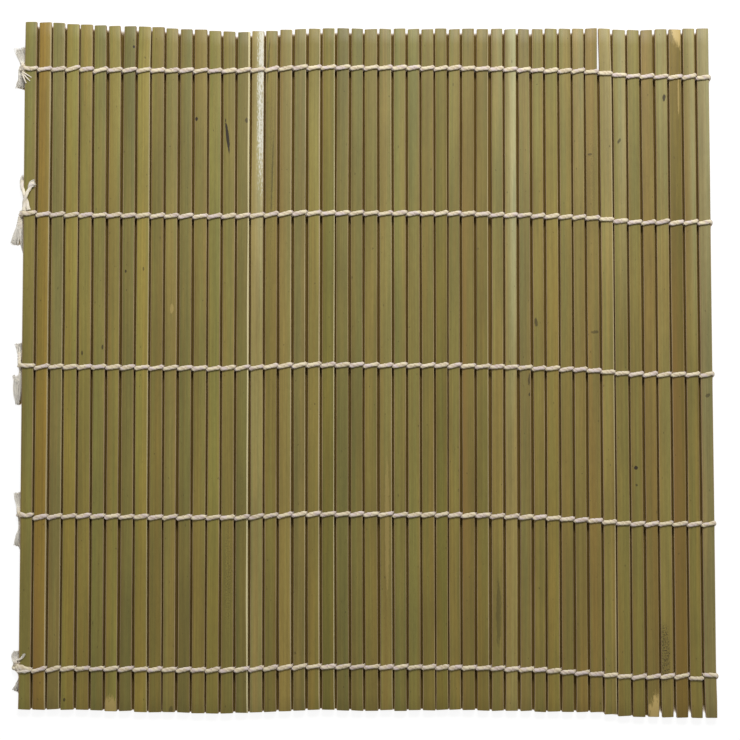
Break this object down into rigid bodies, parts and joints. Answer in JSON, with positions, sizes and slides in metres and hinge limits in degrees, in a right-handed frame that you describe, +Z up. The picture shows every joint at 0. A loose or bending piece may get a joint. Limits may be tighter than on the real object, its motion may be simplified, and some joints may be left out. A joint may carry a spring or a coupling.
{
  "type": "sushi rolling mat",
  "caption": "Square sushi rolling mat of flat green bamboo slats woven together by rows of doubled cotton twine with frayed knots along one edge.",
  "frame": {"origin": "bottom centre of the bounding box of the mat laid flat, at the height of the surface it lies on", "axes": "+X across the slats from the knotted edge to the looped edge, +Y along the slats, +Z up through the thickness"},
  "size_m": [0.2442, 0.2428, 0.0036],
  "materials": {
    "bamboo_green": "satin",
    "bamboo_amber": "satin",
    "bamboo_pale": "satin",
    "cotton_twine": "matte"
  },
  "bodies": {
    "slat_01": {"slat_01": "bamboo_green", "twine_row_1": "cotton_twine", "twine_row_2": "cotton_twine", "twine_row_3": "cotton_twine", "twine_row_4": "cotton_twine", "twine_row_5": "cotton_twine"},
    "slat_02": {"slat_02": "bamboo_amber"},
    "slat_03": {"slat_03": "bamboo_green"},
    "slat_04": {"slat_04": "bamboo_green"},
    "slat_05": {"slat_05": "bamboo_green"},
    "slat_06": {"slat_06": "bamboo_green"},
    "slat_07": {"slat_07": "bamboo_green"},
    "slat_08": {"slat_08": "bamboo_green"},
    "slat_09": {"slat_09": "bamboo_green"},
    "slat_10": {"slat_10": "bamboo_green"},
    "slat_11": {"slat_11": "bamboo_green"},
    "slat_12": {"slat_12": "bamboo_green"},
    "slat_13": {"slat_13": "bamboo_green"},
    "slat_14": {"slat_14": "bamboo_green"},
    "slat_15": {"slat_15": "bamboo_green"},
    "slat_16": {"slat_16": "bamboo_green"},
    "slat_17": {"slat_17": "bamboo_pale"},
    "slat_18": {"slat_18": "bamboo_green"},
    "slat_19": {"slat_19": "bamboo_green"},
    "slat_20": {"slat_20": "bamboo_green"},
    "slat_21": {"slat_21": "bamboo_green"},
    "slat_22": {"slat_22": "bamboo_green"},
    "slat_23": {"slat_23": "bamboo_green"},
    "slat_24": {"slat_24": "bamboo_green"},
    "slat_25": {"slat_25": "bamboo_green"},
    "slat_26": {"slat_26": "bamboo_green"},
    "slat_27": {"slat_27": "bamboo_green"},
    "slat_28": {"slat_28": "bamboo_green"},
    "slat_29": {"slat_29": "bamboo_green"},
    "slat_30": {"slat_30": "bamboo_green"},
    "slat_31": {"slat_31": "bamboo_green"},
    "slat_32": {"slat_32": "bamboo_green"},
    "slat_33": {"slat_33": "bamboo_green"},
    "slat_34": {"slat_34": "bamboo_green"},
    "slat_35": {"slat_35": "bamboo_green"},
    "slat_36": {"slat_36": "bamboo_green"},
    "slat_37": {"slat_37": "bamboo_green"},
    "slat_38": {"slat_38": "bamboo_green"},
    "slat_39": {"slat_39": "bamboo_green"},
    "slat_40": {"slat_40": "bamboo_green"},
    "slat_41": {"slat_41": "bamboo_green"},
    "slat_42": {"slat_42": "bamboo_green"},
    "slat_43": {"slat_43": "bamboo_green"},
    "slat_44": {"slat_44": "bamboo_green"},
    "slat_45": {"slat_45": "bamboo_green"},
    "slat_46": {"slat_46": "bamboo_green"},
    "slat_47": {"slat_47": "bamboo_amber"},
    "slat_48": {"slat_48": "bamboo_pale"},
    "slat_49": {"slat_49": "bamboo_green"}
  },
  "joints": [
    {"name": "roll_01", "type": "hinge", "parent": "slat_01", "child": "slat_02", "pos_m": [-0.11434, 0, 0.0018], "axis": [0, -1, 0], "range_deg": [0, 13.75], "deforming": ["twine_row_1", "twine_row_2", "twine_row_3", "twine_row_4", "twine_row_5"]},
    {"name": "roll_02", "type": "hinge", "parent": "slat_02", "child": "slat_03", "pos_m": [-0.1094, 0, 0.0018], "axis": [0, -1, 0], "range_deg": [0, 13.9]},
    {"name": "roll_03", "type": "hinge", "parent": "slat_03", "child": "slat_04", "pos_m": [-0.10445, 0, 0.0018], "axis": [0, -1, 0], "range_deg": [0, 14.04]},
    {"name": "roll_04", "type": "hinge", "parent": "slat_04", "child": "slat_05", "pos_m": [-0.09949, 0, 0.0018], "axis": [0, -1, 0], "range_deg": [0, 14.19]},
    {"name": "roll_05", "type": "hinge", "parent": "slat_05", "child": "slat_06", "pos_m": [-0.09452, 0, 0.0018], "axis": [0, -1, 0], "range_deg": [0, 14.34]},
    {"name": "roll_06", "type": "hinge", "parent": "slat_06", "child": "slat_07", "pos_m": [-0.08954, 0, 0.0018], "axis": [0, -1, 0], "range_deg": [0, 14.49]},
    {"name": "roll_07", "type": "hinge", "parent": "slat_07", "child": "slat_08", "pos_m": [-0.08455, 0, 0.0018], "axis": [0, -1, 0], "range_deg": [0, 14.64]},
    {"name": "roll_08", "type": "hinge", "parent": "slat_08", "child": "slat_09", "pos_m": [-0.07956, 0, 0.0018], "axis": [0, -1, 0], "range_deg": [0, 14.79]},
    {"name": "roll_09", "type": "hinge", "parent": "slat_09", "child": "slat_10", "pos_m": [-0.07456, 0, 0.0018], "axis": [0, -1, 0], "range_deg": [0, 14.94]},
    {"name": "roll_10", "type": "hinge", "parent": "slat_10", "child": "slat_11", "pos_m": [-0.06955, 0, 0.0018], "axis": [0, -1, 0], "range_deg": [0, 15.09]},
    {"name": "roll_11", "type": "hinge", "parent": "slat_11", "child": "slat_12", "pos_m": [-0.06455, 0, 0.0018], "axis": [0, -1, 0], "range_deg": [0, 15.25]},
    {"name": "roll_12", "type": "hinge", "parent": "slat_12", "child": "slat_13", "pos_m": [-0.05954, 0, 0.0018], "axis": [0, -1, 0], "range_deg": [0, 15.4]},
    {"name": "roll_13", "type": "hinge", "parent": "slat_13", "child": "slat_14", "pos_m": [-0.05453, 0, 0.0018], "axis": [0, -1, 0], "range_deg": [0, 15.56]},
    {"name": "roll_14", "type": "hinge", "parent": "slat_14", "child": "slat_15", "pos_m": [-0.04951, 0, 0.0018], "axis": [0, -1, 0], "range_deg": [0, 15.72]},
    {"name": "roll_15", "type": "hinge", "parent": "slat_15", "child": "slat_16", "pos_m": [-0.0445, 0, 0.0018], "axis": [0, -1, 0], "range_deg": [0, 15.88]},
    {"name": "roll_16", "type": "hinge", "parent": "slat_16", "child": "slat_17", "pos_m": [-0.03949, 0, 0.0018], "axis": [0, -1, 0], "range_deg": [0, 16.04]},
    {"name": "roll_17", "type": "hinge", "parent": "slat_17", "child": "slat_18", "pos_m": [-0.03449, 0, 0.0018], "axis": [0, -1, 0], "range_deg": [0, 16.2]},
    {"name": "roll_18", "type": "hinge", "parent": "slat_18", "child": "slat_19", "pos_m": [-0.02948, 0, 0.0018], "axis": [0, -1, 0], "range_deg": [0, 16.37]},
    {"name": "roll_19", "type": "hinge", "parent": "slat_19", "child": "slat_20", "pos_m": [-0.02448, 0, 0.0018], "axis": [0, -1, 0], "range_deg": [0, 16.54]},
    {"name": "roll_20", "type": "hinge", "parent": "slat_20", "child": "slat_21", "pos_m": [-0.01949, 0, 0.0018], "axis": [0, -1, 0], "range_deg": [0, 16.71]},
    {"name": "roll_21", "type": "hinge", "parent": "slat_21", "child": "slat_22", "pos_m": [-0.0145, 0, 0.0018], "axis": [0, -1, 0], "range_deg": [0, 16.89]},
    {"name": "roll_22", "type": "hinge", "parent": "slat_22", "child": "slat_23", "pos_m": [-0.00952, 0, 0.0018], "axis": [0, -1, 0], "range_deg": [0, 17.06]},
    {"name": "roll_23", "type": "hinge", "parent": "slat_23", "child": "slat_24", "pos_m": [-0.00455, 0, 0.0018], "axis": [0, -1, 0], "range_deg": [0, 17.24]},
    {"name": "roll_24", "type": "hinge", "parent": "slat_24", "child": "slat_25", "pos_m": [0.00041, 0, 0.0018], "axis": [0, -1, 0], "range_deg": [0, 17.42]},
    {"name": "roll_25", "type": "hinge", "parent": "slat_25", "child": "slat_26", "pos_m": [0.00536, 0, 0.0018], "axis": [0, -1, 0], "range_deg": [0, 17.61]},
    {"name": "roll_26", "type": "hinge", "parent": "slat_26", "child": "slat_27", "pos_m": [0.0103, 0, 0.0018], "axis": [0, -1, 0], "range_deg": [0, 17.8]},
    {"name": "roll_27", "type": "hinge", "parent": "slat_27", "child": "slat_28", "pos_m": [0.01522, 0, 0.0018], "axis": [0, -1, 0], "range_deg": [0, 17.96]},
    {"name": "roll_28", "type": "hinge", "parent": "slat_28", "child": "slat_29", "pos_m": [0.02012, 0, 0.0018], "axis": [0, -1, 0], "range_deg": [0, 18.08]},
    {"name": "roll_29", "type": "hinge", "parent": "slat_29", "child": "slat_30", "pos_m": [0.02497, 0, 0.0018], "axis": [0, -1, 0], "range_deg": [0, 18.2]},
    {"name": "roll_30", "type": "hinge", "parent": "slat_30", "child": "slat_31", "pos_m": [0.0298, 0, 0.0018], "axis": [0, -1, 0], "range_deg": [0, 18.35]},
    {"name": "roll_31", "type": "hinge", "parent": "slat_31", "child": "slat_32", "pos_m": [0.03459, 0, 0.0018], "axis": [0, -1, 0], "range_deg": [0, 18.53]},
    {"name": "roll_32", "type": "hinge", "parent": "slat_32", "child": "slat_33", "pos_m": [0.03937, 0, 0.0018], "axis": [0, -1, 0], "range_deg": [0, 18.75]},
    {"name": "roll_33", "type": "hinge", "parent": "slat_33", "child": "slat_34", "pos_m": [0.04413, 0, 0.0018], "axis": [0, -1, 0], "range_deg": [0, 19]},
    {"name": "roll_34", "type": "hinge", "parent": "slat_34", "child": "slat_35", "pos_m": [0.04889, 0, 0.0018], "axis": [0, -1, 0], "range_deg": [0, 19.3]},
    {"name": "roll_35", "type": "hinge", "parent": "slat_35", "child": "slat_36", "pos_m": [0.05364, 0, 0.0018], "axis": [0, -1, 0], "range_deg": [0, 19.63]},
    {"name": "roll_36", "type": "hinge", "parent": "slat_36", "child": "slat_37", "pos_m": [0.0584, 0, 0.0018], "axis": [0, -1, 0], "range_deg": [0, 20.01]},
    {"name": "roll_37", "type": "hinge", "parent": "slat_37", "child": "slat_38", "pos_m": [0.06318, 0, 0.0018], "axis": [0, -1, 0], "range_deg": [0, 20.43]},
    {"name": "roll_38", "type": "hinge", "parent": "slat_38", "child": "slat_39", "pos_m": [0.06797, 0, 0.0018], "axis": [0, -1, 0], "range_deg": [0, 20.92]},
    {"name": "roll_39", "type": "hinge", "parent": "slat_39", "child": "slat_40", "pos_m": [0.07279, 0, 0.0018], "axis": [0, -1, 0], "range_deg": [0, 21.45]},
    {"name": "roll_40", "type": "hinge", "parent": "slat_40", "child": "slat_41", "pos_m": [0.07764, 0, 0.0018], "axis": [0, -1, 0], "range_deg": [0, 22.05]},
    {"name": "roll_41", "type": "hinge", "parent": "slat_41", "child": "slat_42", "pos_m": [0.08254, 0, 0.0018], "axis": [0, -1, 0], "range_deg": [0, 22.68]},
    {"name": "roll_42", "type": "hinge", "parent": "slat_42", "child": "slat_43", "pos_m": [0.08745, 0, 0.0018], "axis": [0, -1, 0], "range_deg": [0, 23.24]},
    {"name": "roll_43", "type": "hinge", "parent": "slat_43", "child": "slat_44", "pos_m": [0.09236, 0, 0.0018], "axis": [0, -1, 0], "range_deg": [0, 23.76]},
    {"name": "roll_44", "type": "hinge", "parent": "slat_44", "child": "slat_45", "pos_m": [0.09727, 0, 0.0018], "axis": [0, -1, 0], "range_deg": [0, 24.33]},
    {"name": "roll_45", "type": "hinge", "parent": "slat_45", "child": "slat_46", "pos_m": [0.10218, 0, 0.0018], "axis": [0, -1, 0], "range_deg": [0, 24.96]},
    {"name": "roll_46", "type": "hinge", "parent": "slat_46", "child": "slat_47", "pos_m": [0.10708, 0, 0.0018], "axis": [0, -1, 0], "range_deg": [0, 25.65]},
    {"name": "roll_47", "type": "hinge", "parent": "slat_47", "child": "slat_48", "pos_m": [0.11199, 0, 0.0018], "axis": [0, -1, 0], "range_deg": [0, 26.41]},
    {"name": "roll_48", "type": "hinge", "parent": "slat_48", "child": "slat_49", "pos_m": [0.1169, 0, 0.0018], "axis": [0, -1, 0], "range_deg": [0, 27.25]}
  ],
  "couplings": [
    {"joint": "roll_02", "follows": "roll_01", "ratio": 1.0106},
    {"joint": "roll_03", "follows": "roll_01", "ratio": 1.0212},
    {"joint": "roll_04", "follows": "roll_01", "ratio": 1.0319},
    {"joint": "roll_05", "follows": "roll_01", "ratio": 1.0426},
    {"joint": "roll_06", "follows": "roll_01", "ratio": 1.0534},
    {"joint": "roll_07", "follows": "roll_01", "ratio": 1.0643},
    {"joint": "roll_08", "follows": "roll_01", "ratio": 1.0752},
    {"joint": "roll_09", "follows": "roll_01", "ratio": 1.0862},
    {"joint": "roll_10", "follows": "roll_01", "ratio": 1.0973},
    {"joint": "roll_11", "follows": "roll_01", "ratio": 1.1086},
    {"joint": "roll_12", "follows": "roll_01", "ratio": 1.1199},
    {"joint": "roll_13", "follows": "roll_01", "ratio": 1.1313},
    {"joint": "roll_14", "follows": "roll_01", "ratio": 1.1428},
    {"joint": "roll_15", "follows": "roll_01", "ratio": 1.1545},
    {"joint": "roll_16", "follows": "roll_01", "ratio": 1.1663},
    {"joint": "roll_17", "follows": "roll_01", "ratio": 1.1782},
    {"joint": "roll_18", "follows": "roll_01", "ratio": 1.1903},
    {"joint": "roll_19", "follows": "roll_01", "ratio": 1.2026},
    {"joint": "roll_20", "follows": "roll_01", "ratio": 1.215},
    {"joint": "roll_21", "follows": "roll_01", "ratio": 1.2277},
    {"joint": "roll_22", "follows": "roll_01", "ratio": 1.2405},
    {"joint": "roll_23", "follows": "roll_01", "ratio": 1.2535},
    {"joint": "roll_24", "follows": "roll_01", "ratio": 1.2668},
    {"joint": "roll_25", "follows": "roll_01", "ratio": 1.2804},
    {"joint": "roll_26", "follows": "roll_01", "ratio": 1.2942},
    {"joint": "roll_27", "follows": "roll_01", "ratio": 1.3061},
    {"joint": "roll_28", "follows": "roll_01", "ratio": 1.3148},
    {"joint": "roll_29", "follows": "roll_01", "ratio": 1.3234},
    {"joint": "roll_30", "follows": "roll_01", "ratio": 1.3343},
    {"joint": "roll_31", "follows": "roll_01", "ratio": 1.3476},
    {"joint": "roll_32", "follows": "roll_01", "ratio": 1.3633},
    {"joint": "roll_33", "follows": "roll_01", "ratio": 1.3817},
    {"joint": "roll_34", "follows": "roll_01", "ratio": 1.4029},
    {"joint": "roll_35", "follows": "roll_01", "ratio": 1.4272},
    {"joint": "roll_36", "follows": "roll_01", "ratio": 1.4547},
    {"joint": "roll_37", "follows": "roll_01", "ratio": 1.4858},
    {"joint": "roll_38", "follows": "roll_01", "ratio": 1.5207},
    {"joint": "roll_39", "follows": "roll_01", "ratio": 1.5598},
    {"joint": "roll_40", "follows": "roll_01", "ratio": 1.6035},
    {"joint": "roll_41", "follows": "roll_01", "ratio": 1.6488},
    {"joint": "roll_42", "follows": "roll_01", "ratio": 1.6894},
    {"joint": "roll_43", "follows": "roll_01", "ratio": 1.7276},
    {"joint": "roll_44", "follows": "roll_01", "ratio": 1.7692},
    {"joint": "roll_45", "follows": "roll_01", "ratio": 1.8147},
    {"joint": "roll_46", "follows": "roll_01", "ratio": 1.8648},
    {"joint": "roll_47", "follows": "roll_01", "ratio": 1.9201},
    {"joint": "roll_48", "follows": "roll_01", "ratio": 1.9813}
  ]
}
